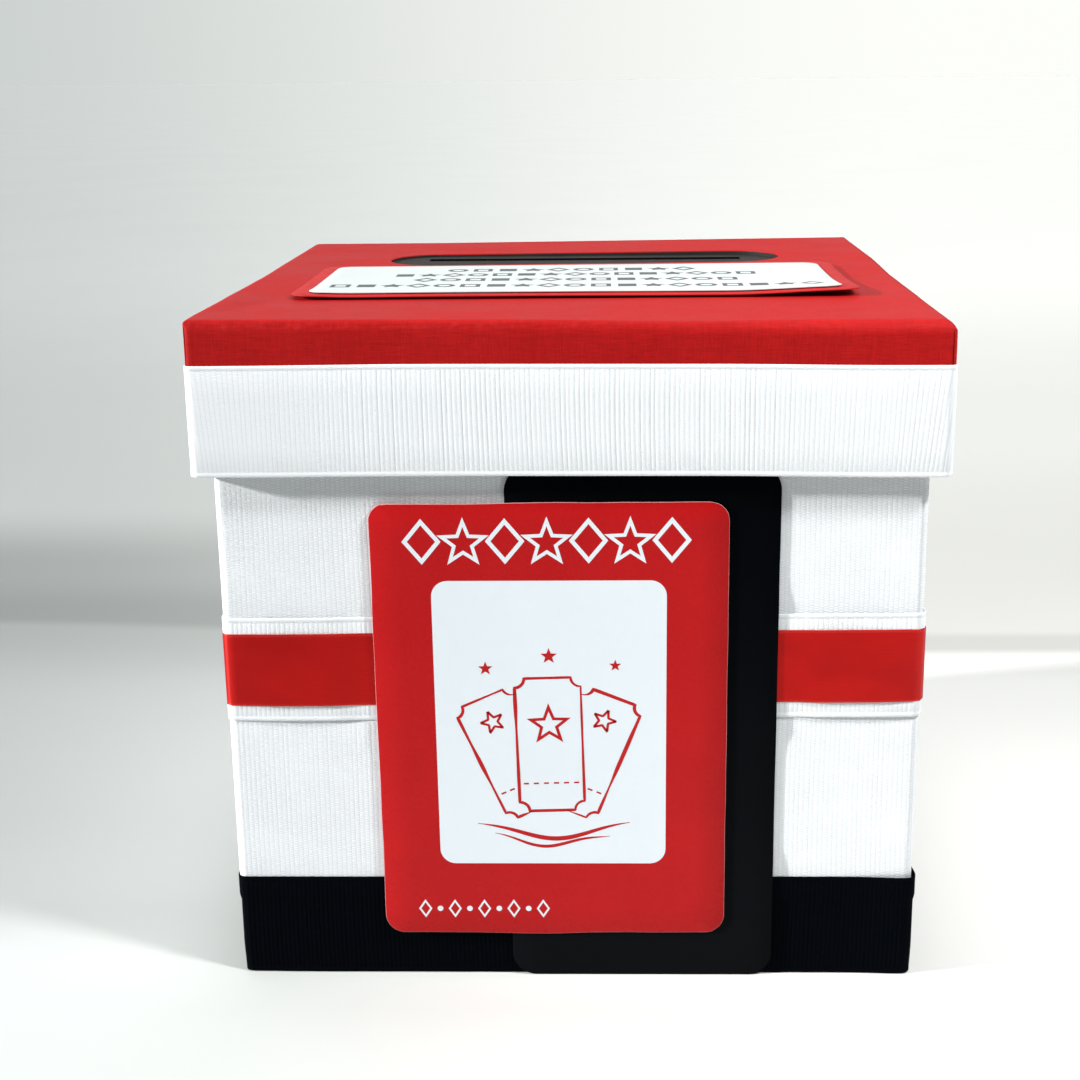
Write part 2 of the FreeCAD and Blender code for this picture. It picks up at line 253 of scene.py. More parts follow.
def satin(name):
    """Satin ribbon: long floats along the ribbon, so its gloss spreads up and down."""
    m = Mat(name, rough=0.38, spec=0.85)
    m.set(m.p, "Metallic", 0.45)
    m.set(m.p, "Anisotropic", 0.70)
    m.set(m.p, "Anisotropic Rotation", 0.25)
    m.set(m.p, "Specular Tint", (1.0, 0.30, 0.26))
    m.set(m.p, "Tangent", m.node("Tangent", 0, {"direction_type": "RADIAL", "axis": "Z"}))
    across, along, edge = m.attr("across"), m.attr("along"), m.attr("selvedge")
    yarn = m.noise(m.vec(m.math("MULTIPLY", along, 0.12), m.math("MULTIPLY", across, 9.0), 0.0), detail=3.0, rough=0.6)
    fine = m.noise(m.vec(m.math("MULTIPLY", along, 2.6), m.math("MULTIPLY", across, 7.0), 5.0), detail=2.0)
    cloud = m.noise(m.vec(m.math("MULTIPLY", along, 0.03), m.math("MULTIPLY", across, 0.06), 1.0), detail=2.0)
    colour = m.mix(m.ramp(yarn, 0.35, 0.68), (0.475, 0.0048, 0.0048), (0.56, 0.0075, 0.0070))
    colour = m.mix(m.ramp(cloud, 0.38, 0.68, 0.0, 0.7), colour, (0.42, 0.0044, 0.0050))
    # painted highlight: the selvedges are painted a lighter red, flecked by noise
    colour = m.mix(m.math("MULTIPLY", edge, m.ramp(fine, 0.45, 0.60, 0.1, 0.85)), colour, (0.72, 0.045, 0.038))
    m.base(colour)
    m.set(m.p, "Roughness", m.ramp(fine, 0.3, 0.7, 0.34, 0.42))
    height = m.math("ADD", m.math("MULTIPLY", yarn, 1.0), m.math("MULTIPLY", fine, 0.5))
    m.normal(m.bump(height, 0.03 * MM, strength=0.7))
    return m.m


def cover_paper(name):
    """Red paper with a linen emboss, rubbed a little along the lid's edges."""
    m = Mat(name, rough=0.56, spec=0.10)
    p = m.place()
    x, y, z = m.xyz(p)[0:3]
    flat_x = m.noise(m.scaled(p, (170.0, 3000.0, 3000.0)), detail=2.0, rough=0.55)
    flat_y = m.noise(m.scaled(p, (3000.0, 170.0, 170.0)), detail=2.0, rough=0.55)
    fine = m.noise(m.scaled(p, (5200.0, 5200.0, 5200.0)), detail=2.0)
    cloud = m.noise(m.scaled(p, (26.0, 26.0, 26.0)), detail=4.0, rough=0.55)
    streak = m.noise(m.scaled(p, (34.0, 700.0, 700.0)), detail=3.0, rough=0.6)
    weave = m.math("ADD", flat_x, m.math("MULTIPLY", flat_y, 0.8))
    colour = m.mix(m.ramp(cloud, 0.32, 0.68), (0.400, 0.0064, 0.0064), (0.440, 0.0078, 0.0076))
    colour = m.mix(m.ramp(weave, 0.72, 1.08), m.mix(0.48, colour, (0.24, 0.003, 0.004)), colour)
    colour = m.mix(m.ramp(streak, 0.48, 0.70, 0.0, 0.50), colour, (0.31, 0.004, 0.005))
    # rubbed edge: where two faces of the lid meet
    far = m.math("MAXIMUM", m.math("ABSOLUTE", x), m.math("ABSOLUTE", y))
    near_side = m.ramp(far, 0.1251, 0.1269)
    near_top = m.ramp(z, 0.2372, 0.2396)
    corner = m.ramp(m.math("MINIMUM", m.math("ABSOLUTE", x), m.math("ABSOLUTE", y)), 0.1254, 0.1266)
    rub = m.math("MAXIMUM", m.math("MULTIPLY", near_side, near_top), m.math("MULTIPLY", corner, 0.7))
    chips = m.noise(m.scaled(p, (420.0, 420.0, 420.0)), detail=4.0, rough=0.65)
    rub = m.math("MULTIPLY", rub, m.ramp(chips, 0.42, 0.66))
    colour = m.mix(m.math("MULTIPLY", rub, 0.25), colour, (0.60, 0.04, 0.038))
    m.base(colour)
    m.set(m.p, "Roughness", m.ramp(cloud, 0.3, 0.7, 0.52, 0.62))
    height = m.math("ADD", weave, m.math("MULTIPLY", fine, 0.35))
    m.normal(m.bump(height, 0.06 * MM, strength=0.9))
    return m.m


def card(name, light, dark, rough, spec, grain=0.02, tooth=2400.0, sheen=0.0, coat=0.0, foot=None, cut=None):
    """Smooth paper or card: fibre tooth, faint clouding of the pulp. foot is a painted reflection
    of the floor: the colour it turns toward near the floor; cut is painted shade: the colour
    painted on the slot's sides and its cut edges."""
    m = Mat(name, rough=rough, spec=spec)
    if sheen:
        m.set(m.p, "Sheen Weight", sheen)
    if coat:
        m.set(m.p, "Coat Weight", coat)
        m.set(m.p, "Coat Roughness", 0.22)
    p = m.place()
    cloud = m.noise(m.scaled(p, (38.0, 38.0, 38.0)), detail=4.0, rough=0.6)
    fibre = m.noise(m.scaled(p, (tooth, tooth, tooth)), detail=3.0, rough=0.6)
    flock = m.noise(m.scaled(p, (320.0, 320.0, 320.0)), detail=3.0, rough=0.6)
    colour = m.mix(m.ramp(cloud, 0.3, 0.7), dark, light)
    colour = m.mix(m.math("MULTIPLY", m.ramp(flock, 0.5, 0.75), 0.35), colour, dark)
    x, y, z = m.xyz(p)[0:3]
    # painted reflection of the floor: the colour turns toward foot near the floor
    if foot:
        colour = m.mix(m.ramp(z, 0.185, 0.02), colour, foot)
    # painted shade: the slot's sides and cut edges are painted with the cut colour
    if cut:
        on_y = m.ramp(m.math("ABSOLUTE", m.math("SUBTRACT", y, 0.062)), 0.00430, 0.00405)
        on_x = m.ramp(m.math("ABSOLUTE", m.math("SUBTRACT", x, 0.0035)), 0.0680, 0.0676)
        colour = m.mix(m.math("MULTIPLY", on_x, on_y), colour, cut)
    m.base(colour)
    m.set(m.p, "Roughness", m.ramp(flock, 0.3, 0.7, max(rough - 0.05, 0.05), min(rough + 0.05, 1.0)))
    m.normal(m.bump(m.math("ADD", fibre, m.math("MULTIPLY", flock, 0.6)), grain * MM, strength=0.7))
    return m.m


def pulp(name, light, dark, fleck, rough=0.85):
    """Unprinted board or foam: coarse pulp with darker flecks."""
    m = Mat(name, rough=rough, spec=0.3)
    p = m.place()
    cloud = m.noise(m.scaled(p, (60.0, 60.0, 60.0)), detail=5.0, rough=0.6)
    fibre = m.noise(m.scaled(p, (900.0, 900.0, 1500.0)), detail=4.0, rough=0.65)
    spots = m.node("TexVoronoi", 0, {"feature": "F1"}, Vector=m.scaled(p, (420.0, 420.0, 420.0)), Scale=1.0)
    colour = m.mix(m.ramp(cloud, 0.3, 0.7), dark, light)
    colour = m.mix(m.math("MULTIPLY", m.ramp(spots, 0.20, 0.05), 0.7), colour, fleck)
    colour = m.mix(m.math("MULTIPLY", m.ramp(fibre, 0.5, 0.75), 0.4), colour, dark)
    m.base(colour)
    m.normal(m.bump(fibre, 0.08 * MM, strength=0.8))
    return m.m


M = {
    # each grosgrain's fourth colour is its painted shade in valleys and thread gaps, also used for fibre flecks
    "white_ribbon": grosgrain("white_grosgrain", (0.815, 0.85, 0.875), (0.64, 0.68, 0.73), (0.80, 0.84, 0.875), 0.55, 0.12, 0.25, 0.04, 0.05, 0.6),
    "wide_ribbon": grosgrain("white_grosgrain_wide", (0.865, 0.90, 0.925), (0.50, 0.54, 0.60), (0.85, 0.89, 0.92), 0.91, 0.36, 0.25, 0.04, 0.07, 0.25),
    "black_ribbon": grosgrain("black_grosgrain", (0.0007, 0.0014, 0.0029), (0.0002, 0.0004, 0.0008), (0.0006, 0.0012, 0.0025), 0.55, 0.12, 0.02, 0.0),
    "satin": satin("red_satin"),
    "cover": cover_paper("red_cover_paper"),
    # the black card's foot colour is a painted reflection of the floor
    "black_card": card("black_card", (0.0006, 0.0012, 0.0022), (0.0004, 0.0010, 0.0018), 0.66, 0.02, 0.02, foot=(0.0036, 0.0044, 0.0056)),
    # the slot card's cut colour is painted shade in the slot
    "slot_card": card("slot_card", (0.024, 0.0235, 0.022), (0.019, 0.0185, 0.0175), 0.62, 0.10, 0.03, cut=(0.0012, 0.0012, 0.0012)),
    "red_card": card("red_printed_card", (0.45, 0.0078, 0.0095), (0.425, 0.0070, 0.0087), 0.30, 0.12, 0.006),
    "core": card("card_core", (0.66, 0.32, 0.32), (0.56, 0.24, 0.24), 0.75, 0.25, 0.03),
    "print_white": card("print_white", (0.73, 0.80, 0.85), (0.715, 0.785, 0.835), 0.32, 0.12, 0.006),
    "print_red": card("print_red", (0.46, 0.009, 0.011), (0.43, 0.007, 0.010), 0.32, 0.20, 0.006),
    "print_grey": card("print_grey", (0.115, 0.12, 0.125), (0.095, 0.10, 0.105), 0.6, 0.15, 0.01),
    "mat_card": card("red_mat_card", (0.43, 0.0095, 0.0100), (0.40, 0.0080, 0.0085), 0.55, 0.15, 0.02),
    "white_card": card("white_card", (0.545, 0.590, 0.582), (0.530, 0.575, 0.568), 0.6, 0.2, 0.02),
    "wrap": card("white_wrap_paper", (0.80, 0.80, 0.79), (0.76, 0.76, 0.75), 0.7, 0.4, 0.03),
    "inner": card("inner_paper", (0.70, 0.69, 0.67), (0.64, 0.63, 0.61), 0.8, 0.3, 0.04),
    "grey": pulp("greyboard", (0.30, 0.285, 0.26), (0.21, 0.20, 0.18), (0.10, 0.095, 0.09)),
    "stay": card("stay_tape", (0.56, 0.42, 0.27), (0.48, 0.35, 0.22), 0.6, 0.4, 0.04),
    "foam": pulp("foam_tape", (0.78, 0.78, 0.76), (0.68, 0.68, 0.66), (0.55, 0.55, 0.54)),
    "base": card("base_paper", (0.62, 0.61, 0.59), (0.55, 0.54, 0.52), 0.8, 0.3, 0.05),
}

for key, names in {
    "base": ["base_sheet"],
    "grey": [
        "floor_board", "front_wall_board", "back_wall_board", "left_wall_board", "right_wall_board",
        "lid_top_board", "lid_front_board", "lid_back_board", "lid_left_board", "lid_right_board",
    ],
    "stay": ["corner_stays", "lid_corner_stays"],
    "wrap": ["box_wrap"],
    "inner": ["wall_lining", "floor_lining", "lid_lining"],
    "foam": ["backing_card_pads", "front_card_pads", "front_card_side_pads", "label_pads"],
    "slot_card": ["slot_plate"],
}.items():
    for n in names:
        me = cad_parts[n].data
        me.materials.clear()
        me.materials.append(M[key])


# ------------------------------------------------------------------ ribbons
def square_path(s, half, r, xs):
    """Point and outward normal, s mm along a rounded square from (xs, half) on the back
    toward -X, then round the left, the front and the right side."""
    c, q = half - r, r * math.pi / 2
    b = np.cumsum([0, xs + c, q, 2 * c, q, 2 * c, q, 2 * c, q])
    s = np.asarray(s, float)
    x, y, nx, ny = (np.zeros_like(s) for _ in range(4))
    k = np.clip(np.searchsorted(b, s, side="right") - 1, 0, 8)
    d = s - b[k]
    for seg, (sx, sy, dx, dy, ax, ay) in {
        0: (xs, half, -1, 0, 0, 1),
        2: (-half, c, 0, -1, -1, 0),
        4: (-c, -half, 1, 0, 0, -1),
        6: (half, -c, 0, 1, 1, 0),
        8: (c, half, -1, 0, 0, 1),
    }.items():
        w = k == seg
        x[w], y[w], nx[w], ny[w] = sx + dx * d[w], sy + dy * d[w], ax, ay
    for seg, (cx, cy, t0) in {1: (-c, c, 90), 3: (-c, -c, 180), 5: (c, -c, 270), 7: (c, c, 0)}.items():
        w = k == seg
        t = math.radians(t0) + d[w] / r
        nx[w], ny[w] = np.cos(t), np.sin(t)
        x[w], y[w] = cx + r * nx[w], cy + r * ny[w]
    return x, y, nx, ny


def path_length(half, r, xs, xe):
    c = half - r
    return (xs + c) + 6 * c + 4 * r * math.pi / 2 + (c - xe)


RIB_STEPS = np.array([0.0, 0.11, 0.29, 0.5, 0.71, 0.89])
RIB_HEIGHT = np.array([0.0, 0.50, 0.92, 1.0, 0.92, 0.50])


def ribbon(name, half, r, z0, z1, t, pitch, lap_x, mat, relief, seed, plain=1.5, lean=1.0,
           ribbed=True, lifts=(), step=None, pucker=0.12, body="box", wave=0.15, replaces=None, lap=16.0,
           amp=None, fan=0.0, tilt=None, gap=None, bulge=(0.0, 0.0), toe=0.0, more=()):
    """A ribbon stuck round the square, starting under its own overlapped tail on the back.
    half and r are what it lies on. lifts is [(x0, x1, height)]: where it passes over the
    overlapped tail of another ribbon. step(z) is its height over what it lies on. amp(x) is how
    strongly the ribs show on the front, fan how far they lean outward at the front corners,
    tilt(x) how far the ribbon is off level, gap(x, share of the width) how far it stands off,
    bulge how far it stands off at the front left and right corners, toe how far its foot is
    drawn in there, more lists extra rows."""
    xs, xe = lap_x + lap / 2, lap_x - lap / 2
    total = path_length(half, r, xs, xe)
    n = int(round(total / pitch))
    edges = np.arange(n + 1) * total / n
    edges[1:-1] += pitch * 0.07 * np.random.RandomState(seed).uniform(-1, 1, n - 1)
    if ribbed:
        s = (edges[:-1, None] + np.diff(edges)[:, None] * RIB_STEPS[None, :]).ravel()
        rib = (np.arange(n)[:, None] + RIB_STEPS[None, :]).ravel()
        crest = np.tile(RIB_HEIGHT, n)
    else:
        s, rib, crest = edges[:-1], np.arange(n) * 1.0, np.ones(n)
    s, rib, crest = np.append(s, total), np.append(rib, float(n)), np.append(crest, 0.0 if ribbed else 1.0)
    width = z1 - z0
    if ribbed:
        crest = 1 - (1 - crest) * np.append(np.repeat(np.random.RandomState(seed + 7).uniform(0.55, 1.3, n), len(RIB_STEPS)), 1.0)
    low = [(0.0, 0.35, 0.0), (0.07, 0.72, 0.0), (0.26, 1.0, 0.0), (plain - 0.15, 1.03, 0.0), (plain + 0.12, 0.80, 0.3), (plain + 0.45, 1.0, 1.0)]
    if not ribbed:
        low = [(0.0, 0.35, 0.0), (0.07, 0.8, 0.0), (0.25, 1.1, 0.0), (0.62, 1.1, 0.0), (0.80, 0.92, 0.0), (1.2, 1.0, 0.0)]
    rows = [(v, f, w, 1) for v, f, w in low]
    k = max(2, int(round(width / 14)))
    rows += [(plain + 0.45 + (width - 2 * plain - 0.9) * (i + 1) / (k + 1), 1.0, 1.0, 0) for i in range(k)]
    if step is not None or more:
        rows += [(v, 1.0, 1.0, 0) for v in (step[1] if step is not None else ()) + tuple(more)]
        rows.sort()
    rows += [(width - v, f, w, -1) for v, f, w in low[::-1]]
    rows += [(width - 0.12, 0.04, 0.0, -2), (0.12, 0.04, 0.0, -2)]
    v = np.array([q[0] for q in rows])[:, None]
    f = np.array([q[1] for q in rows])[:, None]
    w = np.array([q[2] for q in rows])[:, None]
    side = np.array([q[3] for q in rows])[:, None]
    ends = ease(s, 0, 12) * ease(s, total, total - 12)
    bx, by, bnx, bny = square_path(s, half, r, xs)
    c = half - r
    corner_l = (xs + c) + 2 * c + r * math.pi
    corner_r = corner_l + 2 * c
    lead = np.where(s > (corner_l + corner_r) / 2, 1.0, -1.0) * fan
    out_l, out_r = np.abs(s - corner_l), np.abs(s - corner_r)
    lead = lead * np.exp(-(np.minimum(out_l, out_r) / 13.0) ** 2)
    shift = lean * noise1(s, 62, seed + 1) * ends + lead
    bow = (0.5 * lean * noise1(s, 48, seed + 9) * ends)[None, :] * 4 * (v / width) * (1 - v / width)
    S = s[None, :] + shift[None, :] * (v / width - 0.5) + bow
    x, y, nx, ny = square_path(S, half, r, xs)
    on_front = ease(-bny, 0.2, 0.8)
    strength = np.ones_like(s) if amp is None else 1 + (amp(bx) - 1) * on_front
    inner = side == -2
    away = (s - xs)[None, :] * (120.0 / half)
    z = z0 + v
    from_back = np.minimum(np.abs(away), np.abs(960.0 - away))
    rise = pucker * (0.5 + 0.5 * noise2(away, z, 34, 77)) * ease(from_back, 18, 45)
    off = np.where(inner, 0.03, t * f) - np.where(inner, 0.0, relief * w * ((1 - crest) * strength)[None, :])
    off = off + rise
    near_l, near_r = np.exp(-((s - corner_l) / 12.0) ** 2), np.exp(-((s - corner_r) / 12.0) ** 2)
    off = off + (bulge[0] * near_l + bulge[1] * near_r)[None, :]
    off = off - np.where(inner, 0.0, toe) * ease(z, 10, 0.5) * np.maximum(near_l, near_r)[None, :]
    if gap is not None:
        off = off + gap(bx[None, :], v / width) * on_front[None, :]
    tail = ease(s, total - lap - 4.5, total - lap - 0.5)[None, :]
    off = off + tail * (t + 0.04)
    at_back = (y > half - 1)
    for x0, x1, h in lifts:
        bump = ease(x, x0 - 4, x0 - 0.3) * ease(x, x1 + 4, x1 + 0.3) * at_back
        off = off + bump * (h if step is None else h * step[0](z))
    if step is not None:
        off = off + step[0](z) * step[2]
    scallop = 0.05 * crest[None, :] * (np.abs(side) == 1) * (f < 1.02) * np.sign(side)
    drift = wave * noise1(s, 85, seed + 3)[None, :] * ends[None, :]
    drift = drift * ease(v, width * 0.2, 0) + wave * noise1(s, 95, seed + 4)[None, :] * ends[None, :] * ease(v, width * 0.8, width)
    z = z - scallop + drift
    if tilt is not None:
        z = z + tilt(x)
    verts = np.stack([x + nx * off, y + ny * off, np.broadcast_to(z, x.shape)], -1).reshape(-1, 3)
    R, C = len(rows), len(s)
    faces = tube_faces(R, C)
    ends_ = [[i * C for i in range(R)][::-1], [i * C + C - 1 for i in range(R)]]
    band = np.minimum(v, width - v)
    selvedge = np.broadcast_to(ease(band, plain + 0.45, plain - 0.1) if ribbed else ease(band, 1.1, 0.5), x.shape)
    ob = make(
        name + "_cloth", verts, [(faces[:, ::-1], 0), (ends_, 0)], [mat], body,
        {
            "rib": np.broadcast_to(rib[None, :], x.shape).ravel(),
            "across": np.broadcast_to(v, x.shape).ravel(),
            "along": np.broadcast_to(s[None, :], x.shape).ravel(),
            "selvedge": selvedge.ravel(),
        },
    )
    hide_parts(*(replaces or [name]))
    return ob


def level_box(x):
    """The waist ribbons stand a little higher on the right."""
    return 0.76 * np.clip(x / 127, -1, 1)


def level_lid(x):
    """The lid's ribbon hangs a little lower on the right."""
    return np.clip(-0.6 * x / 127, -0.6, 0.3) - 0.2 * ease(x, -40, -110) - 0.55 * ease(x, 45, 110)


def stand_off(shares, values):
    """Distance of a waist ribbon from the front, away from the corners and the cards."""
    def gap(x, share):
        left = ease(x, -119, -100) * ease(x, -73, -86)
        right = ease(x, 76, 88) * ease(x, 119, 104)
        return np.interp(share, shares, values) * np.maximum(left, right)
    return gap


L1, L2, L3 = BOX, BOX + 0.5, BOX + 1.0
ribbon("upper_white_ribbon", L1, BOX_R, 131.5, 206.5, 0.5, 1.71, 6, M["wide_ribbon"], 0.035, 11)
ribbon("lower_white_ribbon", L1, BOX_R, 31.0, 106.0, 0.5, 1.72, 4, M["wide_ribbon"], 0.035, 12)
ribbon("waist_white_ribbon", L2, BOX_R + 0.5, 99.8, 137.6, 0.5, 1.66, -3, M["white_ribbon"], 0.055, 13,
       lifts=[(-4.0, 14.0, 0.56)], tilt=level_box, gap=stand_off([0, 0.15, 0.5, 0.85, 1], [0.55, 0.3, 0.1, 0.1, 0.5]),
       bulge=(0.0, 0.4), more=(5.4, 32.3))
ribbon("red_satin_ribbon", L3, BOX_R + 1.0, 105.4, 131.8, 0.3, 2.4, 2, M["satin"], 0.0, 14, ribbed=False,
       lifts=[(-4.0, 14.0, 0.56), (-11.0, 5.0, 0.56)], lean=0.0, tilt=level_box, gap=stand_off([0, 1], [0.85, 0.40]),
       bulge=(0.0, 0.4))
ribbon("black_base_ribbon", L1, BOX_R, 0.2, 38.7, 0.5, 1.58, -5, M["black_ribbon"], 0.09, 15,
       step=(lambda z: ease(z, 28.8, 30.8), (28.5, 29.8, 30.9), 0.53), lifts=[(-4.0, 12.0, 0.56)], bulge=(0.0, 1.1), toe=0.36)
ribbon("lid_white_ribbon", LID, LID_R, LID_Z0, LID_Z0 + 37.8, 0.5, 1.64, 0, M["white_ribbon"], 0.07, 16,
       body="lid", pucker=0.10, fan=3.0, tilt=level_lid,
       amp=lambda x: 0.2 + 0.95 * ease(x, -112, -45) - 0.5 * ease(x, 60, 85) + 0.6 * ease(x, 98, 124))


# ------------------------------------------------------------------ lid cover
def swell(x, y):
    """How far the lid's top stands proud of level: its twist, in mm."""
    front = 1.0 * ease(x, 45, -25) + 0.6 * np.clip((-x - 20) / 107, 0, 1)
    front = front * np.maximum(ease(y, -66, -122), ease(x, -104, -124) * np.clip(-y / 115, 0, 1))
    return front + 1.15 * np.clip((x + 60) / 187, 0, 1) * ease(y, -10, 50)


def edge_radius(x, y):
    """Rounding of the lid's top edge: of its sides at y, of its front and back at x, and how
    far down the latter reaches."""
    u = np.clip((y + 127) / 254, 0, 1)
    side = np.where(x > 0, 5.0 - 2.0 * u, 1.8 + 2.9 * u)
    right = ease(x, 15, 108)
    front = 2.4 + 2.2 * right + 0.12 * noise1(x, 17, 24)
    back = 4.6 - 1.6 * np.clip((x + 127) / 254, 0, 1)
    return side + 0.12 * noise1(y, 15, 25), np.where(y < 0, front, back), np.where(y < 0, front * (1.7 - 0.69 * right), back)


def lid_cover():
    """The red paper: its turned-down collar in the opening, the top, the rounded edge and the
    skirt, as one closed sheet 0.3 mm thick. The top is a grid, close-set toward its rim.
    The collar's lowest band, down to the plate, takes the dark slot card's material as painted shade."""
    c = LID - LID_R
    near = np.array([0, 0.08, 0.25, 0.5, 0.85, 1.3, 1.8, 2.4, 3.0, 3.6, 4.3, 5.2, 7.0, 9.5, 13.0])
    wx, wy = PILL_L / 2 + 5, PILL_W / 2 + 5

    def lines(centre, half, extra):
        inner = np.linspace(-110, 110, 50)
        inner = inner[np.abs(np.abs(inner - centre) - half) > 1.6]
        return np.unique(np.round(np.concatenate([LID - near, near - LID, inner, [centre - half, centre + half], extra]), 4))

    X = lines(PILL_X, wx, [125.26, 125.64, -126.686, -126.614])
    Y = lines(PILL_Y, wy, [-126.409, -126.344])
    nx_, ny_ = len(X), len(Y)
    gx, gy = np.meshgrid(X, Y, indexing="ij")
    ax, ay = np.abs(gx) - c, np.abs(gy) - c
    both = (ax > 0) & (ay > 0)
    k = np.where(both, np.maximum(ax, ay) / np.maximum(np.hypot(ax, ay), 1e-9), 1.0)
    gx = np.where(both, np.sign(gx) * (c + ax * k), gx)
    gy = np.where(both, np.sign(gy) * (c + ay * k), gy)

    def drop(d, r):
        d = np.clip(d, 0, r)
        return r - np.sqrt(np.maximum(r * r - (r - d) ** 2, 0))

    def height(x, y):
        rs, rf, reach = edge_radius(x, y)
        a, b = drop(LID - np.abs(x), rs), drop(LID - np.abs(y), rf) * reach / rf
        edge = np.minimum(LID - np.abs(x), LID - np.abs(y))
        hole = np.hypot(x - np.clip(x, PILL_X - h, PILL_X + h), y - PILL_Y) - PILL_W / 2
        sink = ease(edge, 1.5, 14) * ease(hole, 1, 12) * (0.10 * noise2(x, y, 38, 21) - 0.06)
        ear = 0.15 * np.exp(-((x - 126) ** 2 + (y - 126) ** 2) / 7.0)
        return TOP + swell(x, y) - (a ** 3 + b ** 3) ** (1 / 3) + sink + ear

    h = PILL_L / 2 - PILL_W / 2
    i0, i1 = int(np.argmin(np.abs(X - PILL_X + wx))), int(np.argmin(np.abs(X - PILL_X - wx)))
    j0, j1 = int(np.argmin(np.abs(Y - PILL_Y + wy))), int(np.argmin(np.abs(Y - PILL_Y - wy)))
    verts = [np.column_stack([gx.ravel(), gy.ravel(), height(gx, gy).ravel()])]
    faces = []
    i, j = np.meshgrid(np.arange(nx_ - 1), np.arange(ny_ - 1), indexing="ij")
    keep = ~((i >= i0) & (i < i1) & (j >= j0) & (j < j1))
    a = (i * ny_ + j)[keep]
    faces.append(np.stack([a, a + ny_, a + ny_ + 1, a + 1], -1))

    def loop(ia, ib, ja, jb):
        pts = [(i, ja) for i in range(ia, ib)] + [(ib, j) for j in range(ja, jb)]
        pts += [(i, jb) for i in range(ib, ia, -1)] + [(ia, j) for j in range(jb, ja, -1)]
        return np.array([i * ny_ + j for i, j in pts])

    def band(upper, lower):
        """Quads between two loops; lower lies inside or below upper."""
        return np.stack([upper, np.roll(upper, -1), np.roll(lower, -1), lower], -1)

    count = len(verts[0])

    def add(xyz):
        nonlocal count
        verts.append(xyz)
        count += len(xyz)
        return np.arange(count - len(xyz), count)

    # the opening
    w = loop(i0, i1, j0, j1)
    W = verts[0][w, :2]
    C = np.stack([np.clip(W[:, 0], PILL_X - h, PILL_X + h), np.full(len(W), PILL_Y)], 1)
    D = (W - C) / np.linalg.norm(W - C, axis=1)[:, None]
    P = C + D * PILL_W / 2
    prev = w
    for f in (0.30, 0.62):
        q = W * (1 - f) + (P + D * 0.9) * f
        cur = add(np.column_stack([q, height(q[:, 0], q[:, 1])]))
        faces.append(band(prev, cur))
        prev = cur
    for d, dz in ((0.9, 0.0), (0.36, 0.0), (0.16, 0.05), (0.05, 0.16), (0.0, 0.38)):
        q = P + D * d
        cur = add(np.column_stack([q, height(q[:, 0], q[:, 1]) - dz]))
        faces.append(band(prev, cur))
        prev = cur
    # painted shade: the collar's lowest band, down to the plate, gets the dark slot card's material
    cur = add(np.column_stack([P, np.full(len(P), 238.9)]))
    shade = band(prev, cur)
    hole_edge = cur

    # the skirt
    rim = loop(0, nx_ - 1, 0, ny_ - 1)
    top = verts[0][rim]
    foot = 189.4 + level_lid(top[:, 0])
    prev = rim
    for f in (0.010, 0.025, 0.05, 0.08, 0.12, 0.17, 0.23, 0.28, 0.5, 0.8, 1.0):
        cur = add(np.column_stack([top[:, :2], top[:, 2] * (1 - f) + foot * f]))
        faces.append(band(prev, cur)[:, ::-1])
        prev = cur
    skirt_edge = prev
    V = np.concatenate(verts)
    F = np.concatenate(faces + [shade])
    painted_shade_rows = len(shade)

    # its back, 0.3 mm inside
    n = np.cross(V[F[:, 2]] - V[F[:, 0]], V[F[:, 3]] - V[F[:, 1]])
    n /= np.maximum(np.linalg.norm(n, axis=1), 1e-9)[:, None]
    N = np.zeros_like(V)
    for k in range(4):
        np.add.at(N, F[:, k], n)
    N /= np.maximum(np.linalg.norm(N, axis=1), 1e-9)[:, None]
    inner = V - N * 0.29

    # folds pressed into the two front corners, and the paper's slight waves along the edge
    x, y, z = V.T
    at_r = np.degrees(np.arctan2(x - c, -y - c))
    at_l = np.degrees(np.arctan2(-x - c, -y - c))
    fold_r = (x > c) & (y < -c) & (at_r > 15.0) & (at_r < 23.9) & (np.hypot(x - c, y + c) > 2.39)
    fold_l = (x < -c) & (y < -c) & (at_l > 40.9) & (at_l < 53.1) & (np.hypot(x + c, y + c) > 2.39)
    depth = 0.38 * (fold_r * ease(z, 236.8, 236.0) + fold_l * ease(z, 239.4, 238.6))
    rx = np.where(np.abs(x) > c - 3, np.sign(x), 0.0) * ease(LID - np.abs(x), 2.0, 0.0)
    ry = np.where(np.abs(y) > c - 3, np.sign(y), 0.0) * ease(LID - np.abs(y), 2.0, 0.0)
    length = np.maximum(np.hypot(rx, ry), 1.0)
    roll = ease(z, 231, 236) * (0.11 * noise1(x + 3 * y, 23, 22) + 0.05 * noise1(x - 2 * y, 7, 23))
    tuck = 0.24 * np.clip((z - 229) / 10, 0, 1) ** 2 * (y < -c)
    V = V + np.column_stack([rx / length * (roll - depth), ry / length * (roll - depth - tuck), 0 * z])

    m = len(V)
    V = np.concatenate([V, inner])
    under = np.concatenate([F[:, ::-1] + m, band(hole_edge, hole_edge + m), band(skirt_edge, skirt_edge + m)[:, ::-1]])
    ob = make("lid_cover_paper", V, [(F[:-painted_shade_rows], 0), (F[-painted_shade_rows:], 1), (under, 0)], [M["cover"], M["slot_card"]],
              "lid", sharp=60)
    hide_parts("lid_cover")
    return ob


lid_cover()


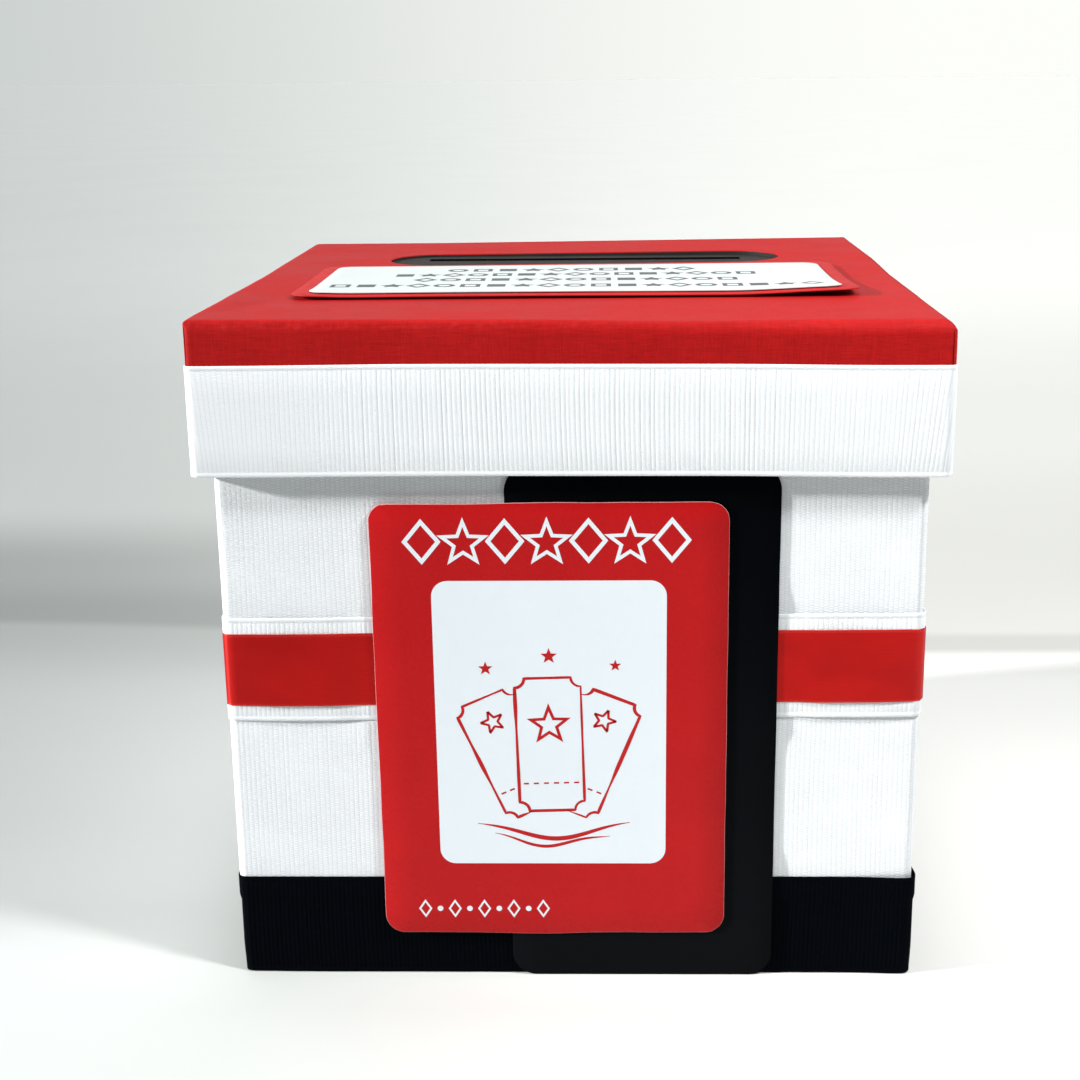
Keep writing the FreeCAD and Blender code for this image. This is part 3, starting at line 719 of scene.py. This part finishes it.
# ------------------------------------------------------------------ cards
def rounded_loop(x0, x1, y0, y1, r, step=5.0, arc=10):
    """Points and outward normals of a rounded rectangle, anticlockwise."""
    P, N = [], []
    for cx, cy, t0, length in ((x1 - r, y0 + r, -90, y1 - y0 - 2 * r), (x1 - r, y1 - r, 0, x1 - x0 - 2 * r),
                               (x0 + r, y1 - r, 90, y1 - y0 - 2 * r), (x0 + r, y0 + r, 180, x1 - x0 - 2 * r)):
        for a in np.radians(np.linspace(t0, t0 + 90, arc + 1)):
            P.append((cx + r * math.cos(a), cy + r * math.sin(a)))
            N.append((math.cos(a), math.sin(a)))
        k = max(2, int(length / step))
        a = math.radians(t0 + 90)
        d = (-math.sin(a), math.cos(a))
        for i in range(1, k):
            P.append((P[-i][0] + d[0] * length * i / k, P[-i][1] + d[1] * length * i / k))
            N.append((math.cos(a), math.sin(a)))
    return np.array(P), np.array(N)


def plate(name, P, N, t, bevel, place, mats, body, rings=5, back_bevel=0.08):
    """A card with cut edges. P is its outline, t its thickness; place(x, y, h) gives the
    point h above its back. Materials: face, edge."""
    lo, hi = P.min(0), P.max(0)
    half = (hi - lo) / 2
    m = min(half)
    mid = (lo + hi) / 2
    C = np.clip(P, mid - (half - m), mid + (half - m))
    C = np.where((half - m) < 1e-6, mid, C)
    levels = [(P - N * back_bevel, 0.0), (P, back_bevel), (P, t - bevel), (P - N * bevel * 0.35, t - bevel * 0.25), (P - N * bevel, t)]
    face = P - N * bevel
    inner = P - N * back_bevel
    for k in range(1, rings + 1):
        f = k / (rings + 1)
        levels.append((face * (1 - f) + C * f, t))
    front_levels = len(levels)
    K = len(P)
    V = np.concatenate([np.column_stack([*place(q[:, 0], q[:, 1], np.full(K, h))]) for q, h in levels])
    j = np.arange(K)
    quads = []
    for k in range(front_levels - 1):
        a, b = k * K + j, k * K + (j + 1) % K
        quads.append(np.stack([a, b, b + K, a + K], 1))
    edge = np.concatenate(quads[:4])
    front = np.concatenate(quads[4:])
    # middle strip of the front, and the whole back
    last = (front_levels - 1) * K + j
    back_levels = [(inner, 0.0)]
    for k in range(1, rings + 1):
        f = k / (rings + 1)
        back_levels.append((inner * (1 - f) + C * f, 0.0))
    base = len(V)
    V = np.concatenate([V] + [np.column_stack([*place(q[:, 0], q[:, 1], np.full(K, h))]) for q, h in back_levels[1:]])
    back = []
    prev = j
    for k in range(rings):
        cur = base + k * K + j
        back.append(np.stack([prev, cur, np.roll(cur, -1), np.roll(prev, -1)], 1))
        prev = cur
    ob = make(
        name, V,
        [(edge, 1), (front, 0), ([list(last)], 0), (np.concatenate(back), 0), ([list(prev)[::-1]], 0)],
        mats, body, sharp=28,
    )
    return ob


def decal(name, shapes, place, mat, body, t=0.03):
    """Ink: flat closed shapes t mm thick. shapes is a list of outlines (anticlockwise) or of
    (left, right, closed) pairs for strokes. place(x, y, h) as in plate()."""
    V, faces = [], []
    for sh in shapes:
        base = sum(len(q) for q in V)
        if isinstance(sh, tuple):
            left, right, closed = sh
            k = len(left)
            for q, h in ((left, 0.0), (right, 0.0), (left, t), (right, t)):
                V.append(np.column_stack([*place(q[:, 0], q[:, 1], np.full(k, h))]))
            L0, R0, L1_, R1_ = (base + k * i + np.arange(k) for i in range(4))
            for i in range(k if closed else k - 1):
                n = (i + 1) % k
                faces += [[R1_[i], R1_[n], L1_[n], L1_[i]], [L0[i], L0[n], R0[n], R0[i]],
                          [L1_[i], L1_[n], L0[n], L0[i]], [R0[i], R0[n], R1_[n], R1_[i]]]
            if not closed:
                faces += [[R0[0], R1_[0], L1_[0], L0[0]], [L0[-1], L1_[-1], R1_[-1], R0[-1]]]
        else:
            q = np.asarray(sh, float)
            k = len(q)
            for h in (0.0, t):
                V.append(np.column_stack([*place(q[:, 0], q[:, 1], np.full(k, h))]))
            faces.append([base + i for i in range(k)][::-1])
            faces.append([base + k + i for i in range(k)])
            faces += [[base + i, base + (i + 1) % k, base + k + (i + 1) % k, base + k + i] for i in range(k)]
    return make(name, np.concatenate(V), [(faces, 0)], [mat], body, sharp=30)


def stroke(P, width, closed=False):
    """A drawn line as (left, right, closed). width is a number or one per point."""
    P = np.asarray(P, float)
    if closed:
        d = np.roll(P, -1, 0) - np.roll(P, 1, 0)
    else:
        d = np.gradient(P, axis=0)
    d /= np.maximum(np.linalg.norm(d, axis=1), 1e-9)[:, None]
    n = np.stack([-d[:, 1], d[:, 0]], 1)
    w = np.broadcast_to(width, len(P))[:, None] / 2
    return (P + n * w, P - n * w, closed)


def mitred(P, width):
    """Closed outline with straight sides and true corners, as a stroke."""
    P = np.asarray(P, float)
    a, b = P - np.roll(P, 1, 0), np.roll(P, -1, 0) - P
    a /= np.linalg.norm(a, axis=1)[:, None]
    b /= np.linalg.norm(b, axis=1)[:, None]
    n = np.stack([-(a[:, 1] + b[:, 1]), a[:, 0] + b[:, 0]], 1)
    n /= np.linalg.norm(n, axis=1)[:, None]
    cosine = np.abs((n * np.stack([-a[:, 1], a[:, 0]], 1)).sum(1))
    w = (width / 2 / np.maximum(cosine, 0.35))[:, None]
    return (P + n * w, P - n * w, True)


def star(cx, cy, r, inner=0.42, turn=90.0, points=5):
    a = np.radians(turn + np.arange(points * 2) * 180.0 / points)
    q = np.where(np.arange(points * 2) % 2 == 0, r, r * inner)
    return np.stack([cx + q * np.cos(a), cy + q * np.sin(a)], 1)


def circle(cx, cy, r, n=28):
    a = np.radians(np.arange(n) * 360.0 / n)
    return np.stack([cx + r * np.cos(a), cy + r * np.sin(a)], 1)


def diamond(cx, cy, w, h):
    return np.array([(cx, cy - h / 2), (cx + w / 2, cy), (cx, cy + h / 2), (cx - w / 2, cy)])


def bar(x0, x1, y0, y1):
    return np.array([(x0, y0), (x1, y0), (x1, y1), (x0, y1)])


# black card standing behind the red one
def clear_of_waist(z):
    """1 beside the wide ribbons, 0 over the waist and base ribbons, which lie higher."""
    return np.maximum(ease(z, 141, 150), ease(z, 96, 88) * ease(z, 42, 50))


def on_black(x, z, h):
    return x, -122.05 - h - 0.04 * noise2(x, z, 45, 31) + 0.5 * ease(x, 60, 71) * clear_of_waist(z), z


P, N = rounded_loop(-22.4, 71.2, 0.2, 191.0, 8.7, arc=14)
P = P + N * (0.07 * noise1(np.arange(len(P)) * 3.0, 9, 33))[:, None]
black = plate("black_card", P, N, 0.5, 0.12, on_black, [M["black_card"], M["black_card"]], "box")
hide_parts("black_backing_card")


# red printed card, cut by hand: its corners aren't quite round
def on_red(x, z, h):
    rim = np.minimum(np.minimum(x + 68.4, 53.9 - x), np.minimum(z - 17.5, 178.5 - z))
    wave = 0.04 * noise2(x, z, 50, 41) * ease(rim, 5, 1) - 0.45 * ease(x, -59, -68) * clear_of_waist(z)
    return x - 0.45 * (z - 99) / 80 * ease(x, 10, -55), -122.75 - h - wave, z


P, N = rounded_loop(-68.4, 53.85, 17.5, 178.45, 6.8, arc=12)
P[:, 1] -= 0.55 * (P[:, 1] < 18) * np.exp(-((P[:, 0] + 12) / 16) ** 2) + 0.35 * (P[:, 1] > 178) * ease(P[:, 0], -15, -35)
hand = 0.10 * noise1(np.arange(len(P)) * 3.0, 7, 43)
P = P + N * hand[:, None]
red = plate("red_card", P, N, 0.5, 0.12, on_red, [M["red_card"], M["core"]], "box")
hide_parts("red_front_card")


def print_on_red(x, z, h):
    a, b, c = on_red(x, z, 0.5 + h)
    return a, b, c


P, N = rounded_loop(-47.85, 32.72, 44.9, 150.85, 5.6, arc=12)
C0 = (P.min(0) + P.max(0)) / 2
decal("printed_panel", [P], lambda x, z, h: print_on_red(x, z, h), M["print_white"], "box", 0.03)

# white ornament across the head of the card: outlined stars and lozenges in a row
shapes = []
for i, x in enumerate(np.linspace(-50.6, 34.4, 7)):
    if i % 2 == 0:
        shapes.append(mitred(diamond(x, 165.0 + 0.004 * (x + 8), 11.5, 14.0), 1.45))
    else:
        shapes.append(mitred(star(x, 164.3 + 0.004 * (x + 8), 7.6), 1.2))
decal("printed_head_ornament", shapes, print_on_red, M["print_white"], "box")

# small white line at the card's foot
shapes = []
for i, x in enumerate(np.linspace(-54.0, -11.2, 9)):
    if i % 2 == 0:
        shapes.append(mitred(diamond(x, 27.0, 4.0, 6.0), 0.66))
    else:
        shapes.append(circle(x, 27.0, 1.05, 16))
decal("printed_foot_ornament", shapes, print_on_red, M["print_white"], "box")


# line drawing on the panel: three blank tickets fanned out, with stars
def ticket(cx, cy, w, h, notch, angle):
    """Outline of a ticket with round bites out of its corners, anticlockwise."""
    pts = []
    for sx, sy, t0 in ((1, -1, 180), (1, 1, 270), (-1, 1, 0), (-1, -1, 90)):
        for a in np.radians(np.linspace(t0, t0 - 90, 9)):
            pts.append((sx * w / 2 + notch * math.cos(a), sy * h / 2 + notch * math.sin(a)))
    pts = np.array(pts)
    dense = []
    for k in range(len(pts)):
        a, b = pts[k], pts[(k + 1) % len(pts)]
        m = max(1, int(np.hypot(*(b - a)) / 0.6))
        dense += [a + (b - a) * i / m for i in range(m)]
    dense = np.array(dense)
    c, s = math.cos(math.radians(angle)), math.sin(math.radians(angle))
    return dense @ np.array([[c, s], [-s, c]]) + (cx, cy)


def inside(P, poly):
    """Which of the points P lie in the polygon."""
    x, y = P[:, 0][:, None], P[:, 1][:, None]
    a, b = poly, np.roll(poly, -1, 0)
    cross = (a[None, :, 1] > y) != (b[None, :, 1] > y)
    slope = (b[:, 0] - a[:, 0]) / np.where(b[:, 1] == a[:, 1], 1e-9, b[:, 1] - a[:, 1])
    return (cross & (x < a[None, :, 0] + (y - a[None, :, 1]) * slope[None, :])).sum(1) % 2 == 1


def visible(P, covers, closed=True):
    """The runs of a line that no polygon in covers hides."""
    hidden = np.zeros(len(P), bool)
    for poly in covers:
        hidden |= inside(P, poly)
    if not hidden.any():
        return [(P, closed)]
    if closed:
        k = int(np.argmax(hidden))
        P, hidden = np.roll(P, -k, 0), np.roll(hidden, -k)
    runs, cur = [], []
    for q, hid in zip(P, hidden):
        if hid:
            if len(cur) > 3:
                runs.append((np.array(cur), False))
            cur = []
        else:
            cur.append(q)
    if len(cur) > 3:
        runs.append((np.array(cur), False))
    return runs


def brush(P, closed, w0, seed, taper=True):
    d = np.concatenate([[0], np.cumsum(np.linalg.norm(np.diff(P, axis=0), axis=1))])
    w = w0 * (1.0 + 0.42 * noise1(d + 31 * seed, 9, 51 + seed))
    if not closed and taper:
        w = w * (0.25 + 0.75 * np.minimum(ease(d, 0, 5), ease(d, d[-1], d[-1] - 5)))
    return stroke(P, w, closed)


def move(P, cx, cy, angle):
    c, s = math.cos(math.radians(angle)), math.sin(math.radians(angle))
    return np.asarray(P, float) @ np.array([[c, s], [-s, c]]) + (cx, cy)


def resample(P, step=0.5):
    P = np.asarray(P, float)
    d = np.concatenate([[0], np.cumsum(np.linalg.norm(np.diff(P, axis=0), axis=1))])
    t = np.linspace(0, d[-1], max(4, int(d[-1] / step)))
    return np.stack([np.interp(t, d, P[:, 0]), np.interp(t, d, P[:, 1])], 1)


tickets = [(-22.0, 87.0, 22.0, 46.0, 3.2, 24.0), (6.0, 87.0, 22.0, 46.0, 3.2, -22.0), (-8.0, 90.5, 23.0, 50.0, 3.4, 1.5)]
outlines = [ticket(*q) for q in tickets]
shapes = []
for i, (q, line) in enumerate(zip(tickets, outlines)):
    covers = outlines[i + 1:] if i == 1 else ([outlines[1], outlines[2]] if i == 0 else [])
    for run, closed in visible(line, covers):
        shapes.append(brush(run, closed, 1.05, i))
    # tear line near the foot of each ticket, as a row of dashes
    for k in range(6):
        x = -q[2] / 2 + 2.6 + k * (q[2] - 5.2) / 5
        dash = move([(x - 0.9, -q[3] / 2 + 10.5), (x, -q[3] / 2 + 10.5), (x + 0.9, -q[3] / 2 + 10.5)], q[0], q[1], q[5])
        for run, _ in visible(resample(dash, 0.2), covers, False):
            shapes.append(stroke(run, 0.62))
centre = tickets[2]
shapes.append(mitred(move(star(0, 7.5, 6.6), centre[0], centre[1], centre[5]), 1.05))
for q, covers in ((tickets[0], [outlines[1], outlines[2]]), (tickets[1], [outlines[2]])):
    s = move(star(0 if q is tickets[1] else -0.5, 13.5, 4.2), q[0], q[1], q[5])
    for run, closed in visible(resample(np.vstack([s, s[:1]]), 0.25), covers, False):
        shapes.append(stroke(run, 0.85))
# a loose flourish under the fan, and small stars over it
t = np.linspace(0, 1, 70)
for k, (x0, x1, y0, sag) in enumerate([(-34.0, 20.0, 60.5, 5.0), (-28.0, 13.0, 56.0, 3.6)]):
    line = np.stack([x0 + (x1 - x0) * t, y0 - sag * np.sin(t * math.pi) + 0.9 * np.sin(t * 9 + k)], 1)
    shapes.append(stroke(line, (1.7 - 0.5 * k) * np.sin(np.clip(t, 0.02, 0.98) * math.pi) ** 0.7))
for cx, cy, r in ((-30.0, 119.0, 2.6), (15.0, 120.0, 2.2), (-8.0, 123.5, 3.0)):
    shapes.append(star(cx, cy, r))
decal("printed_motif", shapes, lambda x, z, h: print_on_red(x, z, 0.03 + h), M["print_red"], "box")


# label on the lid: mat and card, both lifting at two front corners
def curl(x, y):
    right = 1.5 * ease(x, 58, 104) * ease(y, -25, -69)
    left = 0.5 * ease(x, -80, -102) * ease(y, -40, -69)
    front = 0.15 * ease(y, -45, -69) * (0.5 + 0.5 * noise1(x, 40, 61))
    return right + left + front


def on_label(z0, loose=0.0):
    """Height over the lid; loose is how far the card's front edge stands off what is under it."""
    return lambda x, y, h: (x, y, z0 + h + curl(x, y) + loose * ease(y, -50, -63) + swell(x, y))


MX, MY = 1.0, -23.0
P, N = rounded_loop(MX - 103.5, MX + 103.5, MY - 46.5, MY + 46.5, 8.0, arc=12)
P = P + N * (0.08 * noise1(np.arange(len(P)) * 3.0, 8, 63))[:, None]
mat_ = plate("label_mat_card", P, N, 0.4, 0.10, on_label(240.8), [M["mat_card"], M["mat_card"]], "lid", rings=9)
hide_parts("label_mat")
P, N = rounded_loop(MX - 97.5, MX + 97.5, MY - 40.5, MY + 40.5, 6.0, arc=12)
white = plate("label_top_card", P, N, 0.4, 0.08, on_label(241.22, 0.32), [M["white_card"], M["white_card"]], "lid", rings=9)
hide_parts("label_card")

shapes = []
for y0, y1, x0, x1, kind in ((2.0, 3.0, -46.6, 43.8, 0), (-12.6, -11.0, -66.3, 67.4, 1), (-26.8, -28.4, -56.9, 59.0, 2), (-42.8, -47.4, -87.3, 89.0, 3)):
    count = int(round((x1 - x0) / 9.6))
    for i in range(count + 1):
        x = x0 + (x1 - x0) * i / count
        yy = y0 + (y1 - y0) * i / count
        k = (i * 3 + kind) % 5
        if k == 0:
            shapes.append(mitred(circle(x, yy, 3.2, 24), 1.8))
        elif k == 1:
            shapes.append(bar(x - 3.4, x + 3.4, yy - 3.6, yy + 3.6))
        elif k == 2:
            shapes.append(mitred(diamond(x, yy, 7.4, 9.0), 1.6))
        elif k == 3:
            shapes.append(mitred(bar(x - 2.9, x + 2.9, yy - 3.1, yy + 3.1), 1.7))
        else:
            shapes.append(star(x, yy, 4.8, 0.5))
decal("label_ornament", shapes, on_label(241.62, 0.32), M["print_grey"], "lid")


# ------------------------------------------------------------------ floor
def floor():
    m = Mat("floor", rough=0.75, spec=0.15)
    p = m.place()
    cloud = m.noise(m.scaled(p, (3.0, 3.0, 3.0)), detail=3.0)
    x, y, z = m.xyz(p)[0:3]
    slope = m.math("DIVIDE", x, m.math("MAXIMUM", m.math("ADD", y, 0.66), 0.12))
    left = m.ramp(slope, 0.20, -0.42)

    def tone(first, *steps):
        """A grey that changes by amount between two distances, for each (from, to, amount)."""
        value = first
        for start, end, amount in steps:
            value = m.math("ADD", value, m.ramp(y, start, end, 0.0, amount))
        return value

    # the far part of the sweep and the near part. Painted shade: darker at the left and behind the box, and a soft dark
    # fold across it; painted light: lighter beside the box on the right, over the left lamp's shadow
    far_l = tone(0.525, (1.9, 0.6, -0.072), (0.54, 0.385, -0.165))
    far_r = tone(0.845, (1.9, 0.62, -0.20), (0.80, 0.30, -0.125), (0.252, 0.238, -0.075))
    near_l = tone(0.365, (0.268, 0.14, 0.088), (0.02, -0.07, 0.04), (-0.07, -0.12, 0.09))
    # painted light: near_r is lighter beside the box on the right, where the left lamp's shadow falls
    near_r = tone(0.66, (0.215, 0.165, 0.10), (0.14, 0.02, 0.06), (-0.120, -0.150, -0.15))
    fold = m.math("ADD", 0.214, m.math("MULTIPLY", left, 0.058))
    at = m.ramp(m.math("SUBTRACT", y, fold), 0.009, -0.009)
    grey_l = m.math("ADD", m.math("MULTIPLY", far_l, m.math("SUBTRACT", 1.0, at)), m.math("MULTIPLY", near_l, at))
    grey_r = m.math("ADD", m.math("MULTIPLY", far_r, m.math("SUBTRACT", 1.0, at)), m.math("MULTIPLY", near_r, at))
    grey = m.math("ADD", m.math("MULTIPLY", grey_l, left), m.math("MULTIPLY", grey_r, m.math("SUBTRACT", 1.0, left)))
    grey = m.math("MULTIPLY", grey, m.ramp(y, -0.19, -0.46, 1.0, 0.58))
    grey = m.math("ADD", grey, m.ramp(cloud, 0.3, 0.7, -0.006, 0.006))
    tint = m.xyz(m.mix(left, (0.99, 1.0, 0.965), (0.94, 1.0, 0.98)))
    m.base(m.vec(*[m.math("MULTIPLY", grey, c) for c in tint[0:3]]))
    me = bpy.data.meshes.new("floor")
    s = 30.0
    me.from_pydata([(-s, -s, 0), (s, -s, 0), (s, s, 0), (-s, s, 0)], [], [(0, 1, 2, 3)])
    me.materials.append(m.m)
    ob = bpy.data.objects.new("floor", me)
    scene.collection.objects.link(ob)


floor()


# ------------------------------------------------------------------ light
def sun(name, toward, strength, angle, colour=(1, 1, 1)):
    data = bpy.data.lights.new(name, "SUN")
    data.energy, data.angle, data.color = strength, math.radians(angle), colour
    ob = bpy.data.objects.new(name, data)
    ob.rotation_mode = "QUATERNION"
    ob.rotation_quaternion = Vector(toward).to_track_quat("Z", "Y")
    scene.collection.objects.link(ob)


sun("left_lamp", (-5.0, -1.0, 1.5), 6.9, 3.5, (1.0, 0.985, 0.97))
sun("overhead_fill", (0.0, 0.15, 1.0), 1.20, 60, (0.97, 0.985, 1.0))
data = bpy.data.lights.new("right_lamp", "AREA")
data.shape, data.size, data.energy, data.color = "DISK", 0.14, 8.5, (1.0, 0.99, 0.985)
ob = bpy.data.objects.new("right_lamp", data)
ob.location = (0.57, -0.408, 0.85)
ob.rotation_mode = "QUATERNION"
ob.rotation_quaternion = (Vector(ob.location) - Vector((0.0, -0.06, 0.12))).to_track_quat("Z", "Y")
scene.collection.objects.link(ob)

world = bpy.data.worlds.new("studio")
scene.world = world
world.use_nodes = True
t = world.node_tree
t.nodes.clear()
out = t.nodes.new("ShaderNodeOutputWorld")
back = t.nodes.new("ShaderNodeBackground")
front = t.nodes.new("ShaderNodeBackground")
mix = t.nodes.new("ShaderNodeMixShader")
path = t.nodes.new("ShaderNodeLightPath")
coord = t.nodes.new("ShaderNodeTexCoord")
sep = t.nodes.new("ShaderNodeSeparateXYZ")
level = t.nodes.new("ShaderNodeMapRange")
tone = t.nodes.new("ShaderNodeMix")
tone.data_type = "RGBA"
t.links.new(coord.outputs["Generated"], sep.inputs[0])
t.links.new(sep.outputs[1], level.inputs[0])
level.inputs[1].default_value, level.inputs[2].default_value = -0.1, 0.9
t.links.new(level.outputs[0], tone.inputs[0])
tone.inputs[6].default_value = (0.05, 0.052, 0.055, 1)
tone.inputs[7].default_value = (0.66, 0.68, 0.68, 1)
t.links.new(tone.outputs[2], back.inputs[0])
slope = t.nodes.new("ShaderNodeMath")
slope.operation = "DIVIDE"
deep = t.nodes.new("ShaderNodeMath")
deep.operation = "MAXIMUM"
deep.inputs[1].default_value = 0.2
side = t.nodes.new("ShaderNodeMapRange")
side.interpolation_type = "SMOOTHSTEP"
side.inputs[1].default_value, side.inputs[2].default_value = -0.42, 0.20
# painted shade: the backdrop the camera sees is darker toward the left, where the box's shadow falls
painted_backdrop_shade = t.nodes.new("ShaderNodeMix")
painted_backdrop_shade.data_type = "RGBA"
painted_backdrop_shade.inputs[6].default_value = (0.600, 0.640, 0.628, 1)
painted_backdrop_shade.inputs[7].default_value = (0.985, 0.994, 0.955, 1)
t.links.new(sep.outputs[1], deep.inputs[0])
t.links.new(sep.outputs[0], slope.inputs[0])
t.links.new(deep.outputs[0], slope.inputs[1])
t.links.new(slope.outputs[0], side.inputs[0])
t.links.new(side.outputs[0], painted_backdrop_shade.inputs[0])
t.links.new(painted_backdrop_shade.outputs[2], front.inputs[0])
t.links.new(path.outputs["Is Camera Ray"], mix.inputs[0])
t.links.new(back.outputs[0], mix.inputs[1])
t.links.new(front.outputs[0], mix.inputs[2])
t.links.new(mix.outputs[0], out.inputs[0])

scene.view_settings.view_transform = "Standard"
scene.view_settings.look = "None"

# ------------------------------------------------------------------ camera
pitch, yaw, roll = (math.radians(a) for a in (14.563, -1.322, -0.586))
Rx = np.array([[1, 0, 0], [0, math.cos(pitch), -math.sin(pitch)], [0, math.sin(pitch), math.cos(pitch)]])
Ry = np.array([[math.cos(yaw), 0, -math.sin(yaw)], [0, 1, 0], [math.sin(yaw), 0, math.cos(yaw)]])
Rz = np.array([[math.cos(roll), -math.sin(roll), 0], [math.sin(roll), math.cos(roll), 0], [0, 0, 1]])
R = Rz @ Rx @ Ry @ np.array([[1, 0, 0], [0, 0, -1], [0, 1, 0]])
cam = bpy.data.cameras.new("camera")
cam.sensor_fit = "HORIZONTAL"
cam.sensor_width, cam.lens = 36.0, 55.0
cam.shift_x, cam.shift_y = -25.5 / 1080, -49.5 / 1080
cam.clip_start, cam.clip_end = 0.02, 100.0
cam_ob = bpy.data.objects.new("camera", cam)
cam_ob.matrix_world = Matrix([
    [R[0][0], -R[1][0], -R[2][0], 0.010817],
    [R[0][1], -R[1][1], -R[2][1], -0.66087],
    [R[0][2], -R[1][2], -R[2][2], 0.322377],
    [0, 0, 0, 1],
])
scene.collection.objects.link(cam_ob)
scene.camera = cam_ob
